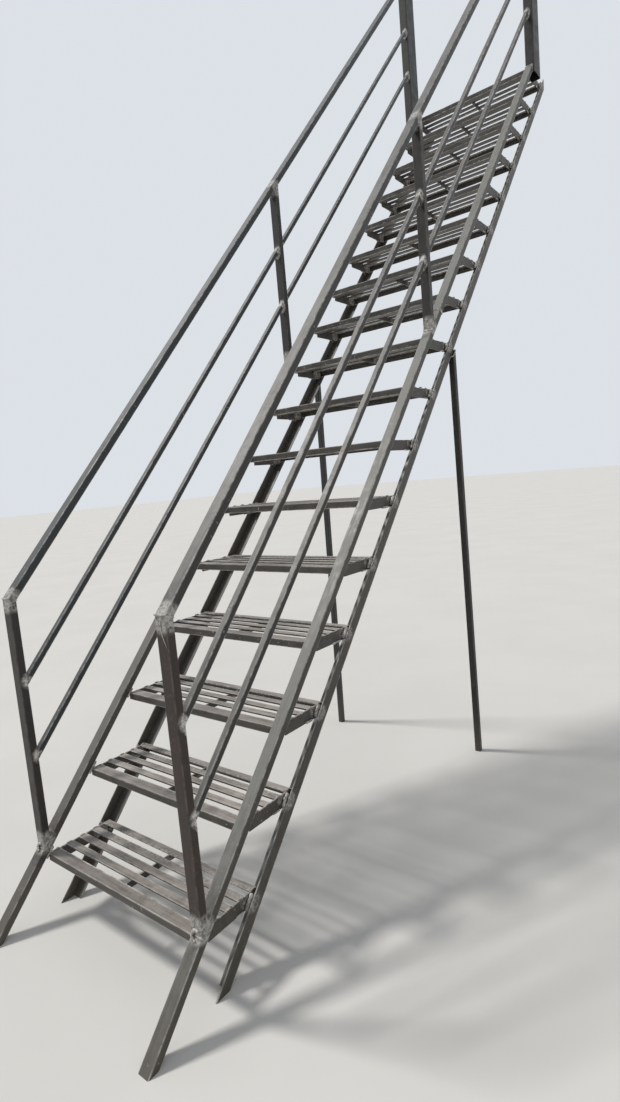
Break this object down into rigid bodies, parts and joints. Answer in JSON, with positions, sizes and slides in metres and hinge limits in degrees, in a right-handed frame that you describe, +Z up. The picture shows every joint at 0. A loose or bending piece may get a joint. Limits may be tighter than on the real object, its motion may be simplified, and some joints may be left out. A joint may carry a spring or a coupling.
{
  "type": "fire escape stair",
  "caption": "Straight welded steel fire escape stair with slatted open treads, twin sloping chords each side, two legs and railings with mid rails.",
  "frame": {"origin": "middle of the top tread's back face, where the wall holds the stair, 3.4295 m above the ground", "axes": "+X across the flight, to the right when climbing; +Y along the going, up the stair; +Z up"},
  "size_m": [0.79, 3.3303, 4.2377],
  "materials": {
    "chord_paint": "worn dark grey paint, dusty on top",
    "rail_paint": "worn dark brown-grey paint",
    "tread_paint": "trodden dark grey-brown paint, dusty"
  },
  "bodies": {
    "root": {"bottom_post_left": "rail_paint", "bottom_post_right": "rail_paint", "handrail_left": "rail_paint", "handrail_right": "rail_paint", "leg_left": "chord_paint", "leg_right": "chord_paint", "lower_chord_left": "chord_paint", "lower_chord_right": "chord_paint", "lower_rail_high_left": "rail_paint", "lower_rail_high_right": "rail_paint", "lower_rail_low_left": "rail_paint", "lower_rail_low_right": "rail_paint", "mid_post_left": "rail_paint", "mid_post_right": "rail_paint", "top_post_left": "rail_paint", "top_post_right": "rail_paint", "tread_01": "tread_paint", "tread_02": "tread_paint", "tread_03": "tread_paint", "tread_04": "tread_paint", "tread_05": "tread_paint", "tread_06": "tread_paint", "tread_07": "tread_paint", "tread_08": "tread_paint", "tread_09": "tread_paint", "tread_10": "tread_paint", "tread_11": "tread_paint", "tread_12": "tread_paint", "tread_13": "tread_paint", "tread_14": "tread_paint", "tread_15": "tread_paint", "tread_16": "tread_paint", "tread_17": "tread_paint", "upper_chord_left": "chord_paint", "upper_chord_right": "chord_paint", "upper_rail_high_left": "rail_paint", "upper_rail_high_right": "rail_paint", "upper_rail_low_left": "rail_paint", "upper_rail_low_right": "rail_paint"}
  },
  "joints": []
}
